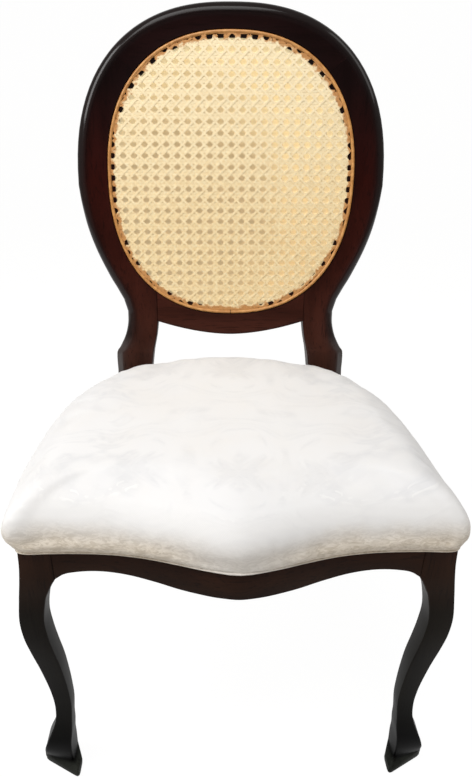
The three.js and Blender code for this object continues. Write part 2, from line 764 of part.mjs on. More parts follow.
// Cane webbing: a flat net over the lip, with its gaps in a square grid
function caneWebbing() {
  const edge = -grooveWidth - fit;
  const back = lipLevel - fit;
  const margin = edge - (canePitch - caneGap) / 2;
  const inside = ({ x, y }) => {
    const up = y - opening.middle;
    const rise = (up > 0 ? opening.up : opening.down) + margin;
    return Math.abs(up) < rise && Math.abs(x) < leftOf(opening.half + margin, up, rise);
  };
  const columns = Math.ceil(opening.half / canePitch);
  const rows = Math.ceil(opening.down / canePitch);
  const gaps = [];
  for (let column = -columns; column <= columns; column += 1) {
    for (let row = -rows; row <= rows; row += 1) {
      const centre = new THREE.Vector2(column * canePitch, opening.middle + row * canePitch);
      const corners = [[-0.5, -0.5], [-0.5, 0.5], [0.5, 0.5], [0.5, -0.5]].map(([across, up]) => (
        centre.clone().add(new THREE.Vector2(across * caneGap, up * caneGap))
      ));
      if (corners.every(inside)) {
        const depths = [back - overrun, back + overrun];
        gaps.push(loft(depths.map((depth) => corners.map(({ x, y }) => onBack(x, y, depth)))));
      }
    }
  }
  return cutAway(ovalPlate(edge, back - caneThick, back), [mergeGeometries(gaps)]);
}

// Reed spline: a bead that wedges the cane's edge into the groove. Its section is in shares of
// its half width, its seat in the groove and its height above the lip.
const splineShares = [
  [-0.7, 1], [-1, 0], [-1, -0.6], [-0.4, -1], [0.4, -1], [1, -0.6], [1, 0], [0.7, 1],
];

function reedSpline() {
  const middle = -grooveWidth / 2;
  const half = splineWidth / 2;
  const section = splineShares.map(([aside, behind]) => (
    [aside * half, behind * (behind > 0 ? splineSeat : splineProud)]
  ));
  return loft(ovalTurns.map((turn) => section.map(([aside, behind]) => {
    const { x, y } = ovalPoint(opening, middle + aside, turn);
    return onBack(x, y, lipLevel + behind);
  })), true);
}

// Seat pad. Its rings are the plan drawn in towards the middle of the seat.
const padHalf = frontSpread / 2 + padOverLegs;
const padReach = frontRailBow + padOverRail;
const padMiddle = (frameDepth + padPastPosts - padReach) / 2;

const padPlan = (() => {
  const back = (share) => share * (frameDepth + padReach) - padReach;
  const half = [
    ...padFrontShares.map(([x, y]) => vector(x * padHalf, back(y), 0)),
    ...padSideShares.map(([x, y]) => vector(THREE.MathUtils.lerp(postInner, padHalf, x), back(y), 0)),
    ...padTailShares.map(([x, y]) => vector(x * postInner, frameDepth + y * padPastPosts, 0)),
  ];
  return [...half, ...half.slice(1, -1).reverse().map(({ x, y }) => vector(-x, y, 0))];
})();

function padRing(inset, z) {
  const share = 1 - inset / padHalf;
  return padPlan.map(({ x, y }) => vector(x * share, padMiddle + (y - padMiddle) * share, z));
}

// The cover is a fabric shell: inside it runs down from the crown to the board's edge, turns in
// below the board, where it is stapled, and comes back outside up to the crown
const foldInset = boardInset + foldWidth;

function seatCover() {
  const outside = padSectionShares.map(([inset, height]) => (
    padRing(inset * padRound, padBottom + height * padHeight)
  ));
  const inside = padSectionShares.slice(2).map(([inset, height]) => (
    padRing(inset * padRound + coverThick, padBottom + height * (padHeight - coverThick))
  ));
  return loft([
    ...inside.reverse(), padRing(boardInset - fit, padBottom + coverThick),
    padRing(foldInset, padBottom + coverThick), padRing(foldInset, padBottom), ...outside,
  ]);
}

function seatFoam() {
  const crown = padSectionShares.slice(3).map(([inset, height]) => (
    padRing(inset * padRound + coverThick + 2 * fit, padBottom + height * (padHeight - coverThick) - 2 * fit)
  ));
  const [inset] = padSectionShares[2];
  return loft([padRing(inset * padRound + coverThick + 2 * fit, boardTop + fit), ...crown]);
}

const seatScrews = sides.flatMap(({ side }) => (
  [frontBlock, rearBlock].map((block) => seatScrew(block, side))
));

function seatBoard() {
  return cutAway(loft([boardBottom, boardTop].map((z) => padRing(boardInset, z))), seatScrews.map(screwHole));
}

// Black cambric inside the turned-in cover
function dustCover() {
  const top = boardBottom - fit;
  const rings = [top - dustCoverThick, top].map((z) => padRing(foldInset + fit, z));
  return cutAway(loft(rings), seatScrews.map(screwHole));
}

function seatWelt() {
  const around = Array.from({ length: fineSides }, (_, i) => {
    const turn = (i / fineSides) * 2 * Math.PI;
    const height = padBottom + weltRise + weltRadius * Math.sin(turn);
    return padRing(weltInset + weltRadius * Math.cos(turn), height);
  });
  return loft(padPlan.map((_, i) => around.map((ring) => ring[i])), true);
}

for (const { name, side } of sides) {
  place(`${name}_front_leg`, frontLeg(side), finish.mahogany);
  place(`${name}_back_post`, backPost(side), finish.mahogany);
  place(`${name}_side_rail`, sideRail(side), finish.mahogany);
  place(`${name}_front_corner_block`, cornerBlock(frontBlock, side), finish.beech);
  place(`${name}_rear_corner_block`, cornerBlock(rearBlock, side), finish.beech);
  place(`${name}_front_glide`, glide(glideJoint(frontFoot, side)), finish.nylon);
  place(`${name}_rear_glide`, glide(glideJoint(rearFoot, side)), finish.nylon);
  for (const [where, block] of [['front', frontBlock], ['rear', rearBlock]]) {
    place(`${name}_${where}_block_screw`, screw(blockScrew(block, side)), finish.steel);
    place(`${name}_${where}_seat_screw`, screw(seatScrew(block, side)), finish.steel);
  }
  const joints = {
    front_rail: frontRailJoints(side),
    side_rail_front: sideRailJoints(legBlock, sideRailFrontX, side),
    side_rail_rear: sideRailJoints(frameDepth, sideRailRearX, side),
    rear_rail: rearRailJoints(side),
    crest: crestJoints(side),
    lower_back_rail: lowerRailJoints(side),
  };
  for (const [joint, pair] of Object.entries(joints)) {
    pair.forEach((one, i) => place(`${name}_${joint}_dowel_${i + 1}`, dowel(one), finish.beech));
  }
}
place('front_rail', frontRail(), finish.mahogany);
place('rear_rail', rearRail(), finish.mahogany);
place('crest_rail', crestRail(), finish.mahogany);
place('lower_back_rail', lowerBackRail(), finish.mahogany);

const liningFront = lipLevel + lipThick + fit;
const gimpFront = liningFront + liningThick + fit;
place('cane_webbing', caneWebbing(), finish.cane);
place('reed_spline', reedSpline(), finish.reed);
place('back_lining', ovalPlate(rebateEdge - fit, liningFront, liningFront + liningThick), finish.lining);
const gimpEdge = rebateEdge - fit;
place('lining_gimp', ovalBand(gimpEdge - gimpWidth, gimpEdge, gimpFront, gimpFront + gimpThick), finish.reed);

place('seat_board', seatBoard(), finish.plywood);
place('seat_foam', seatFoam(), finish.foam);
place('seat_cover', seatCover(), finish.damask);
place('seat_welt', seatWelt(), finish.damask);
place('dust_cover', dustCover(), finish.cambric);

// The origin is on the floor, below the middle of the chair's outline
const outline = new THREE.Box3().setFromObject(chair);
const middle = outline.getCenter(vector(0, 0, 0));
chair.position.set(-middle.x, -middle.y, -outline.min.z);

export default chair;
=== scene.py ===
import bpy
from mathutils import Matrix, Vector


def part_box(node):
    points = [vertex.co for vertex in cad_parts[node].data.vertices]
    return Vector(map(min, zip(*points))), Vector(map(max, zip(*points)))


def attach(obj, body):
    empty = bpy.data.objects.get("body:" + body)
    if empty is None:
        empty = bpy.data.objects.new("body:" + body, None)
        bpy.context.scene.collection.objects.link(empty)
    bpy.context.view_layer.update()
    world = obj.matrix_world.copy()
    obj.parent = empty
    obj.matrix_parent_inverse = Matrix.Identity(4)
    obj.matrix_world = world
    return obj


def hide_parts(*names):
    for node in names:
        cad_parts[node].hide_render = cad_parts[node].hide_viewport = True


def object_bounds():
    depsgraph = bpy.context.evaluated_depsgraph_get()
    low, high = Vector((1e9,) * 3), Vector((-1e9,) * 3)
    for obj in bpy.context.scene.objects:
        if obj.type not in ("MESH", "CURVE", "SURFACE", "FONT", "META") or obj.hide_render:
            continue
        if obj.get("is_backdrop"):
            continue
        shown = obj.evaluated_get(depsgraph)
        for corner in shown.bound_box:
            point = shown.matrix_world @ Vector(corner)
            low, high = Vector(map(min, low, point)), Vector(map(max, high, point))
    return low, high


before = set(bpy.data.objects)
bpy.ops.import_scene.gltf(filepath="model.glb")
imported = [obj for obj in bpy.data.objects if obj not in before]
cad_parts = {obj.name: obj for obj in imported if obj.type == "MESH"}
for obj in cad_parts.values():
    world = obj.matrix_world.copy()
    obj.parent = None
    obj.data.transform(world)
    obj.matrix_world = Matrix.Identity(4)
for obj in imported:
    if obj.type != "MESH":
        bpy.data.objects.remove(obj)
cad_box = [list(corner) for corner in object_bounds()]

import math

import bmesh
import bpy
import numpy as np
from mathutils import Matrix, Vector, noise

# Camera. It stands a little left of the chair's middle, above the seat and close to it, and looks
# down, so the seat is large and the legs narrow towards the floor.
frame_depth = 0.403
leg_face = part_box("rear_rail")[0].y - frame_depth
pan, tilt, roll = 0.0167, 0.4849, 0.0054
forward = Vector((math.sin(pan) * math.cos(tilt), math.cos(pan) * math.cos(tilt), -math.sin(tilt)))
level = Vector((math.cos(pan), -math.sin(pan), 0))
over = level.cross(forward)
right = level * math.cos(roll) + over * math.sin(roll)
above = over * math.cos(roll) - level * math.sin(roll)
eye = Vector((-0.0264, leg_face - 0.5132, 0.8327))
bpy.ops.object.camera_add(location=eye)
camera = bpy.context.object
camera.matrix_world = Matrix.Translation(eye) @ Matrix((right, above, -forward)).transposed().to_4x4()
camera.data.lens = 27.95
camera.data.shift_x = 0.0163
camera.data.shift_y = 0.0333
bpy.context.scene.camera = camera


# Studio. A pale floor that runs up into a pale wall, a wide soft lamp overhead, and one at each side
# that lights the cushion's flanks and draws lines of light along the lacquer.
class Wire:
    """One output socket of a node, with sums written as sums."""

    def __init__(self, finish, socket):
        self.finish, self.socket = finish, socket

    def maths(self, operation, *terms):
        return self.finish.node("ShaderNodeMath", {"operation": operation}, dict(enumerate(terms)))

    def __add__(self, other):
        return self.maths("ADD", self, other)

    def __sub__(self, other):
        return self.maths("SUBTRACT", self, other)

    def __rsub__(self, other):
        return self.maths("SUBTRACT", other, self)

    def __mul__(self, other):
        return self.maths("MULTIPLY", self, other)

    def __mod__(self, other):
        return self.maths("PINGPONG", self, other)

    __radd__, __rmul__ = __add__, __mul__

    def sine(self):
        return self.maths("SINE", self)

    def size(self):
        return self.maths("ABSOLUTE", self)

    def between(self, low, high):
        return self.finish.node("ShaderNodeMapRange", {"interpolation_type": "SMOOTHSTEP"},
                                {"Value": self, "From Min": low, "From Max": high})


class Finish:
    """A material or world, with one way to add a node to it."""

    def __init__(self, owner):
        self.owner = owner
        owner.use_nodes = True
        self.tree = owner.node_tree

    def node(self, kind, settings=None, sockets=None, output=0):
        made = self.tree.nodes.new(kind)
        for key, value in (settings or {}).items():
            if key == "stops":
                ramp = made.color_ramp.elements
                while len(ramp) < len(value):
                    ramp.new(0.5)
                for stop, (place, colour) in zip(ramp, value):
                    stop.position, stop.color = place, (*colour, 1)
            else:
                setattr(made, key, value)
        for key, value in (sockets or {}).items():
            self.join(made.inputs[key], value)
        return Wire(self, made.outputs[output])

    def join(self, socket, value):
        if isinstance(value, Wire):
            self.tree.links.new(value.socket, socket)
        elif hasattr(value, "__len__") and len(socket.default_value) == 4 and len(value) == 3:
            socket.default_value = (*value, 1)
        else:
            socket.default_value = value

    def coordinates(self, scale=(1, 1, 1), turn=(0, 0, 0)):
        place = self.node("ShaderNodeTexCoord", output=3)
        return self.node("ShaderNodeMapping", {}, {"Vector": place, "Scale": scale, "Rotation": turn})

    def parts(self, vector):
        split = self.node("ShaderNodeSeparateXYZ", {}, {0: vector})
        return [Wire(self, output) for output in split.socket.node.outputs]

    def written(self, name):
        """A number that the mesh carries at its points."""
        return self.node("ShaderNodeAttribute", {"attribute_name": name}, output=2)

    def noise(self, vector, scale, detail=3, roughness=0.5, distortion=0):
        return self.node("ShaderNodeTexNoise", {}, {"Vector": vector, "Scale": scale, "Detail": detail,
                                                    "Roughness": roughness, "Distortion": distortion})

    def blend(self, share, low, high):
        mix = self.tree.nodes.new("ShaderNodeMix")
        mix.data_type = "RGBA"
        for socket, value in ((0, share), (6, low), (7, high)):
            self.join(mix.inputs[socket], value)
        return Wire(self, mix.outputs[2])

    def bump(self, height, distance, strength):
        return self.node("ShaderNodeBump", {}, {"Height": height, "Distance": distance,
                                                "Strength": strength})

    def surface(self, **sockets):
        shader = self.tree.nodes["Principled BSDF"]
        for key, value in sockets.items():
            self.join(shader.inputs[key.replace("_", " ")], value)

    def shine(self, shader):
        out = next(n for n in self.tree.nodes if n.type == "OUTPUT_MATERIAL")
        self.tree.links.new(shader.socket, out.inputs["Surface"])

    def seen(self):
        """1 for what the camera, a gloss or a clear thing sees, and 0 for light that falls on things."""
        rays = self.tree.nodes.new("ShaderNodeLightPath").outputs
        total = Wire(self, rays["Is Camera Ray"]) + Wire(self, rays["Is Glossy Ray"])
        total = total + Wire(self, rays["Is Transmission Ray"])
        return total.maths("MINIMUM", total, 1)


bpy.ops.object.select_all(action="DESELECT")
floor_size = 8
bpy.ops.mesh.primitive_plane_add(size=floor_size, location=(0, 0, 0))
floor = bpy.context.object
floor.name = "floor"
bpy.ops.object.mode_set(mode="EDIT")
bpy.ops.mesh.select_mode(type="EDGE")
bpy.ops.mesh.select_all(action="DESELECT")
sheet = bmesh.from_edit_mesh(floor.data)
for edge in sheet.edges:
    edge.select_set(all(v.co.y > floor_size / 2 - 0.1 for v in edge.verts))
bmesh.update_edit_mesh(floor.data)
for rise, run in ((0.1, 0.5), (0.3, 0.4), (0.5, 0.2), (5, 0)):
    bpy.ops.mesh.extrude_region_move(TRANSFORM_OT_translate={"value": (0, run, rise)})
bpy.ops.object.mode_set(mode="OBJECT")
bpy.ops.object.shade_smooth()
paper = Finish(bpy.data.materials.new("studio_paper"))
lit = paper.node("ShaderNodeBsdfDiffuse", {}, {"Color": (0.74, 0.73, 0.72)})
bare = paper.node("ShaderNodeEmission", {}, {"Color": (1, 1, 1), "Strength": 1.09})
paper.shine(paper.node("ShaderNodeMixShader", {}, {0: paper.seen() * 0.88, 1: lit, 2: bare}))
floor.data.materials.append(paper.owner)
floor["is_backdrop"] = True

room = Finish(bpy.data.worlds.new("studio_room"))
bpy.context.scene.world = room.owner
room.tree.nodes["Background"].inputs["Color"].default_value = (1, 0.97, 0.93, 1)
room.tree.nodes["Background"].inputs["Strength"].default_value = 0.34

for name, place, aim, size, power in (
    ("lamp_overhead", (-0.3, -0.75, 2.4), (0, 0, 0.6), (1.3, 0.9), 19),
    ("lamp_left", (-1.5, -0.5, 1.9), (0, 0.1, 0.7), (0.8, 1.0), 21),
    ("lamp_right", (1.5, -0.1, 2.1), (0, 0.15, 0.8), (0.9, 1.1), 7),
):
    bpy.ops.object.light_add(type="AREA", location=place)
    lamp = bpy.context.object
    lamp.name = name
    lamp.data.shape = "RECTANGLE"
    lamp.data.size, lamp.data.size_y = size
    lamp.data.energy = power
    lamp.data.color = (1.0, 0.99, 0.98)
    lamp.rotation_euler = (Vector(aim) - Vector(place)).to_track_quat("-Z", "Y").to_euler()

bpy.context.scene.view_settings.view_transform = "Standard"


# Front legs. Each is sawn from a square of hardwood: a block that takes the rails, a knee that
# swings out, a thin ankle and a broad toe. It is stained dark mahogany and lacquered to a gloss.
def smooth(rows, steps):
    """Rows of numbers joined by a smooth curve, with a number of steps between each two."""
    rows = np.array(rows, float)
    rows = np.concatenate([2 * rows[:1] - rows[1:2], rows, 2 * rows[-1:] - rows[-2:-1]])
    made = []
    for a, b, c, d in zip(rows, rows[1:], rows[2:], rows[3:]):
        for t in np.arange(steps) / steps:
            made.append((2 * b + (c - a) * t + (2 * a - 5 * b + 4 * c - d) * t * t
                         + (3 * b - a - 3 * c + d) * t ** 3) / 2)
    return np.array(made + [rows[-2]])


def eased(corners, radius, steps=4):
    """An outline with each of its corners rounded."""
    corners = [np.array(c, float) for c in corners]
    made = []
    for before, corner, after in zip([corners[-1], *corners], corners, [*corners[1:], corners[0]]):
        start = corner + (before - corner) / np.linalg.norm(before - corner) * radius
        end = corner + (after - corner) / np.linalg.norm(after - corner) * radius
        for t in np.linspace(0, 1, steps):
            made.append(start * (1 - t) ** 2 + corner * 2 * t * (1 - t) + end * t * t)
    return np.array(made)


def drawn(name, rings, angle=32, marks=None):
    """A solid bar: a filled outline that is extruded from each ring of points to the next. Marks are
    numbers for the points of one ring, kept on the mesh for its finish."""
    bpy.ops.object.select_all(action="DESELECT")
    bpy.ops.mesh.primitive_circle_add(vertices=len(rings[0]), radius=0.01, fill_type="NGON")
    bar = bpy.context.object
    bar.name = name
    bpy.ops.object.mode_set(mode="EDIT")
    bpy.ops.mesh.select_mode(type="FACE")
    for i, ring in enumerate(rings):
        if i:
            bpy.ops.mesh.extrude_region_move()
        held = bmesh.from_edit_mesh(bar.data)
        for vertex, place in zip([v for v in held.verts if v.select], ring):
            vertex.co = place
        bmesh.update_edit_mesh(bar.data)
    bpy.ops.mesh.select_all(action="SELECT")
    bpy.ops.mesh.normals_make_consistent(inside=False)
    bpy.ops.object.mode_set(mode="OBJECT")
    bpy.ops.object.shade_smooth_by_angle(angle=math.radians(angle))
    if marks is not None:
        kept = bar.data.attributes.new("toning", "FLOAT", "POINT")
        kept.data.foreach_set("value", np.tile(marks, len(rings)))
    return bar


lacquer = {}
quarter = math.pi / 2
for run, turn in (("upright", (0, 0, 0)), ("across", (0, quarter, 0)), ("deep", (quarter, 0, 0))):
    wood = Finish(bpy.data.materials.new("mahogany_" + run))
    along = wood.coordinates(turn=turn)
    long = wood.node("ShaderNodeVectorMath", {"operation": "MULTIPLY"}, {0: along, 1: (1, 1, 0.07)})
    figure = wood.noise(long, 26, 5, 0.6)
    pores = wood.noise(long, 420, 2, 0.5)
    cloud = wood.noise(along, 5.5, 2)
    height = wood.parts(wood.coordinates())[2]
    # The colour changes with height, and most of that change is painted light and shade. The toe's top
    # ledge is lighter as painted light from above. The foot's front is near black as painted shade. The
    # seat rails, necks and lower back rail are redder and lighter as painted bounce light. The crest is
    # darker as painted shade. The middle of the legs is plain dark stain, and the grain, cloud and pores
    # laid over all of it are real.
    stain_and_painted_light = wood.node("ShaderNodeValToRGB", {"stops": [
        (0.000, (0.0260, 0.0280, 0.0240)), (0.017, (0.0240, 0.0260, 0.0220)),
        (0.020, (0.0008, 0.0008, 0.0008)), (0.060, (0.0008, 0.0008, 0.0008)),
        (0.140, (0.0092, 0.0080, 0.0060)), (0.300, (0.0105, 0.0076, 0.0050)),
        (0.370, (0.0290, 0.0115, 0.0056)), (0.500, (0.0560, 0.0165, 0.0105)),
        (0.600, (0.0430, 0.0085, 0.0052)), (0.720, (0.0290, 0.0040, 0.0026)),
        (0.850, (0.0110, 0.0036, 0.0036)),
    ]}, {0: height})
    spread = figure.between(0.3, 0.75) * 0.6 + 0.7 - cloud.between(0.35, 0.7) * 0.25
    stain_and_painted_light = wood.node("ShaderNodeVectorMath", {"operation": "SCALE"}, {0: stain_and_painted_light, "Scale": spread})
    # Where the mesh is marked, the outer roll of the oval takes a dark grey, a painted reflection, and
    # the chamfer facet of the necks and rear legs takes a light grey, a painted highlight. The same
    # marks also give those parts more coat.
    edge = wood.blend(height.between(0.492, 0.468), (0.0085, 0.0058, 0.0056), (0.062, 0.053, 0.051))
    stain_and_painted_light = wood.blend(wood.written("toning") * 0.85, stain_and_painted_light, edge)
    stain_and_painted_light = wood.blend(pores.between(0.56, 0.68) * 0.4, stain_and_painted_light, (0.004, 0.0018, 0.0016))
    polish = wood.written("toning").between(0.55, 0.95) * 0.4 + height.between(0.03, 0.12) * 0.05
    wood.surface(Base_Color=stain_and_painted_light, Roughness=0.36 + 0.12 * cloud, Specular_IOR_Level=0.03,
                 Coat_Weight=polish, Coat_Roughness=0.12, Coat_IOR=1.5,
                 Normal=wood.bump(pores + figure * 0.5, 0.00012, 0.5))
    lacquer[run] = wood.owner


def finish(piece, material, slot, *nodes):
    """Gives a piece its material, sets it on the frame and hides the solids it replaces. The slot is not
    used.
    """
    piece.data.materials.clear()
    piece.data.materials.append(material)
    for face in piece.data.polygons:
        face.material_index = 0
    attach(piece, "root")
    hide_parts(*nodes)


block, leg_height, half_spread = 0.036, 0.394, 0.242
leg_easing, toe_easing, toe_top = 0.0032, 0.0072, 0.060
leg_rows = [
    (1.000, 0.000, 0.000, 1.000, 1.000, 0.000), (0.944, 0.040, 0.000, 1.040, 1.000, 0.000),
    (0.904, 0.095, 0.000, 1.095, 1.000, 0.000), (0.892, 0.115, 0.000, 1.112, 0.970, 0.000),
    (0.874, 0.145, 0.000, 1.030, 0.930, 0.000), (0.848, 0.195, 0.005, 0.950, 0.890, 0.000),
    (0.812, 0.260, 0.010, 0.860, 0.850, 0.000), (0.736, 0.360, -0.030, 0.820, 0.820, 0.000),
    (0.665, 0.330, -0.030, 0.820, 0.820, 0.000), (0.596, 0.220, 0.030, 0.790, 0.790, 0.000),
    (0.520, 0.080, 0.125, 0.750, 0.750, 0.000), (0.444, -0.040, 0.205, 0.690, 0.690, 0.000),
    (0.381, -0.125, 0.245, 0.640, 0.640, 0.000), (0.317, -0.165, 0.250, 0.610, 0.610, 0.000),
    (0.254, -0.110, 0.200, 0.610, 0.610, 0.000), (0.203, 0.070, 0.120, 0.750, 0.740, 0.000),
    (0.152, 0.300, 0.040, 0.910, 0.880, 0.030), (0.102, 0.480, 0.030, 1.060, 0.980, 0.120),
    (0.050, 0.620, 0.080, 1.200, 0.900, 0.330),
]
toe_rows = [
    (0.043, 0.640, 0.000, 1.280, 0.860, 0.450), (0.030, 0.670, -0.240, 1.450, 0.800, 0.740),
    (0.016, 0.680, -0.280, 1.490, 0.790, 0.790), (0.0085, 0.675, -0.275, 1.480, 0.780, 0.790),
]
for name, side in (("left", -1), ("right", 1)):
    rings = []
    for height, out, back, width, depth, drawn_back in [*smooth(leg_rows, 4), *toe_rows]:
        outer = half_spread + out * block
        inner, front = outer - width * block, leg_face + back * block
        rear, draw = front + depth * block, drawn_back * block
        ankle = min(1, height * leg_height / toe_top)
        easing = toe_easing - (toe_easing - leg_easing) * ankle * ankle * (3 - 2 * ankle)
        corners = [(outer, front + draw), (inner, front), (inner, rear), (outer, rear + draw)]
        outline = eased(corners, easing)
        rings.append([(side * x, y, height * leg_height) for x, y in outline])
    leg = drawn(name + "_leg", rings)
    finish(leg, lacquer["upright"], "mahogany", name + "_front_leg")


# Seat rails. Four boards doweled between legs and posts. The front one is bandsawn to a serpentine
# that comes to a soft point, with two arches below; the others are plain and mostly hidden.
arris = 0.0018


def plank(name, stations):
    """A board drawn through sections that each give four corners."""
    return drawn(name, [eased(corners, arris) for corners in stations])


rail_top, rail_half, rail_height, rail_back = 0.394, 0.2057, 0.037, 0.024
bow_depth, set_back = 0.0385, 0.0015
bow_rows = [
    (0.00, 1.00, 0.00), (0.08, 0.94, -0.01), (0.17, 0.81, -0.03), (0.31, 0.58, -0.01),
    (0.44, 0.37, 0.08), (0.58, 0.19, 0.18), (0.70, 0.09, 0.23), (0.80, 0.04, 0.22),
    (0.89, 0.01, 0.15), (0.95, 0.00, 0.06), (1.00, 0.00, -0.13),
]
stations = []
for along, bow, rise in smooth([(-a, b, r) for a, b, r in bow_rows[:0:-1]] + bow_rows, 4):
    x, front = along * rail_half, leg_face + set_back - bow * bow_depth
    bottom, rear = rail_top - rail_height * (1 - rise), leg_face + rail_back
    stations.append([(x, front, bottom), (x, front, rail_top), (x, rear, rail_top), (x, rear, bottom)])
front_board = plank("front_seat_rail", stations)
finish(front_board, lacquer["across"], "mahogany", "front_rail")

side_start, side_length, side_height, side_arch = 0.0363, 0.3644, 0.050, 0.008
narrow_half, swell = 0.187, 0.055
taper_start, taper_length, inner_front, inner_rear = 0.036, 0.365, 0.220, 0.161
side_rows = [
    (0.00, 0.97), (0.18, 0.98), (0.34, 0.94), (0.50, 0.85), (0.64, 0.73), (0.76, 0.54),
    (0.87, 0.30), (1.00, 0.00),
]
for name, side in (("left", -1), ("right", 1)):
    stations = []
    for along, bow in smooth(side_rows, 5):
        y = leg_face + side_start + along * side_length
        outer = narrow_half + bow * swell
        inner = inner_front + (y - leg_face - taper_start) / taper_length * (inner_rear - inner_front)
        bottom = rail_top - side_height + side_arch * math.sin(math.pi * along)
        stations.append([(side * outer, y, bottom), (side * outer, y, rail_top),
                         (side * inner, y, rail_top), (side * inner, y, bottom)])
    side_board = plank(name + "_seat_rail", stations)
    finish(side_board, lacquer["deep"], "mahogany", name + "_side_rail")

low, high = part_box("rear_rail")
stations = [[(x, low.y, low.z), (x, low.y, high.z), (x, high.y, high.z), (x, high.y, low.z)]
            for x in np.linspace(low.x, high.x, 9)]
finish(plank("rear_seat_rail", stations), lacquer["across"], "mahogany", "rear_rail")


# Back frame. Two posts that are rear leg, neck and side of the oval in one plank each, a crest and
# a lower rail. Outside runs a broad rounded moulding, inside a dished band down to the cane.
lean, seat_line = math.radians(9.25), 0.430
foot = leg_face + 0.405
opening = dict(half=0.186, up=0.1965, down=0.2035, middle=0.298, square=2.32)
rim = dict(half=0.232, up=0.2415, down=0.198, middle=0.288, square=2.4)
thick, post_thick, band_fall = 0.030, 0.032, 0.0046
groove, groove_depth, lip, lip_level = 0.006, 0.005, 0.0106, 0.0055
joint_x, rounding, chamfer, rebate, step_in = 0.1175, 0.0140, 0.0105, 0.0083, 0.0030


def on_back(x, up, behind):
    return (x, foot + up * math.sin(lean) + behind * math.cos(lean),
            seat_line + up * math.cos(lean) - behind * math.sin(lean))


def oval(shape, grow, turn):
    def reach(share):
        return math.copysign(abs(share) ** (2 / shape["square"]), share)
    rise = shape["up"] if math.sin(turn) > 0 else shape["down"]
    return np.array([reach(math.cos(turn)) * (shape["half"] + grow),
                     shape["middle"] + reach(math.sin(turn)) * (rise + grow)])


def moulded(outer, inner, share, depth):
    """Points from the back of the outer edge over the front to the inner edge, as places across the
    frame and behind its face. The share is 1 for the full moulding and 0 for a plain chamfered post."""
    outer, inner = np.array(outer), np.array(inner)
    width = np.linalg.norm(inner - outer)
    across = (inner - outer) / width
    made = [(arris, depth), (0, depth - arris)]
    for k in range(9):
        a = math.radians(k * 90 / 8)
        round_edge = np.array([rounding * (1 - math.cos(a)), rounding * (1 - math.sin(a))])
        flat_edge = np.array([chamfer * k / 8, chamfer * (1 - k / 8)])
        made.append(round_edge * share + flat_edge * (1 - share))
    start = made[-1][0]
    for part, fall in ((0.03, 0.0005), (0.07, 0.0012), (0.20, 0.0024), (0.40, 0.0037), (0.65, 0.0045),
                       (0.90, 0.0047), (0.97, 0.0046)):
        made.append((start + (width - start) * part, fall * share))
    return [(outer + across * place, behind) for place, behind in made]


# How much painted reflection, painted highlight and extra coat each point of the moulding's section
# takes: the outer edge and roll fully, the band little, the cane side some.
toning = np.array([1] * 7 + [0.95, 0.9, 0.8, 0.6, 0.45, 0.25, 0.1, 0.05, 0.05, 0.1, 0.3] + [0.6] * 10)


def plain_side(inner, outer, share, depth):
    """The inner edge of a post where no cane meets it."""
    toward = np.array(outer) - np.array(inner)
    toward = toward / np.linalg.norm(toward)
    face = band_fall * share
    made = [(inner, face + 0.0012)]
    made += [(inner, face + (depth - face) * part) for part in (0.2, 0.3, 0.4, 0.5, 0.6, 0.7, 0.8)]
    return made + [(inner, depth - arris), (inner + toward * arris, depth)]


def cane_side(place):
    """The inner edge where the cane sits: groove, lip, way through and the lining's step behind."""
    floor_of_groove, through = lip_level + groove_depth, -lip + step_in
    return [(place(0), 0.0052), (place(0), floor_of_groove), (place(-groove), floor_of_groove),
            (place(-groove), lip_level), (place(-lip), lip_level), (place(-lip), rebate),
            (place(through), rebate), (place(through), 0.018), (place(through), thick - arris),
            (place(through + arris), thick)]


def set_on_back(section):
    """A ring of points in the room, from places on the back and behind its face."""
    return [on_back(p[0], p[1], behind) for p, behind in section]


crest_turn = math.radians(44)
shoulder_rows = [
    (1.000, 1.000, 0), (0.985, 0.905, -10.5), (0.954, 0.785, -20.5), (0.902, 0.663, -30.5),
    (0.828, 0.535, -40), (0.784, 0.472, -47), (0.740, 0.406, -54.1),
]
neck_rows = [
    (0.716, 0.340, 0.505, 0.362), (0.719, 0.274, 0.505, 0.285), (0.740, 0.205, 0.518, 0.205),
    (0.780, 0.138, 0.536, 0.135), (0.803, 0.108, 0.543, 0.105), (0.806, 0.050, 0.552, 0.050),
    (0.804, 0.000, 0.561, 0.000),
]
rear_leg_rows = [
    (1.040, 0.000, 0.20, 0.00), (1.000, 0.000, 0.42, 0.00), (0.860, 0.000, 0.42, 0.00),
    (0.740, 0.050, 0.54, 0.20), (0.600, 0.150, 0.65, 0.40), (0.450, 0.310, 0.75, 0.58),
    (0.300, 0.500, 0.84, 0.75), (0.150, 0.730, 0.93, 0.88), (0.0085, 1.000, 1.00, 1.00),
]
oval_rings, steps_down = [], 12
for i in range(steps_down):
    turn = math.radians(math.degrees(crest_turn) * (1 - i / steps_down) - 0.01)
    section = moulded(oval(rim, 0, turn), oval(opening, 0, turn), 1, thick)
    section += cane_side(lambda grow: oval(opening, grow, turn))
    oval_rings.append(set_on_back(section))
for x, up, degrees in smooth(shoulder_rows, 4):
    turn = math.radians(degrees)

    def beside(grow, turn=turn):
        p = oval(opening, grow, turn)
        return np.array([max(p[0], joint_x), p[1]])
    outer = (x * rim["half"], up * rim["middle"])
    oval_rings.append(set_on_back(moulded(outer, beside(0), 1, thick) + cane_side(beside)))
neck_rings = []
for x, up, inner_x, inner_up in neck_rows:
    share = min(1, max(0, (up - 0.105) / 0.06))
    share = share * share * (3 - 2 * share)
    outer = (x * rim["half"], up * rim["middle"])
    inner = np.array([max(inner_x * rim["half"], joint_x), inner_up * rim["middle"]])
    depth = post_thick + (thick - post_thick) * share
    section = moulded(outer, inner, share, depth) + plain_side(inner, outer, share, depth)
    neck_rings.append(set_on_back(section))
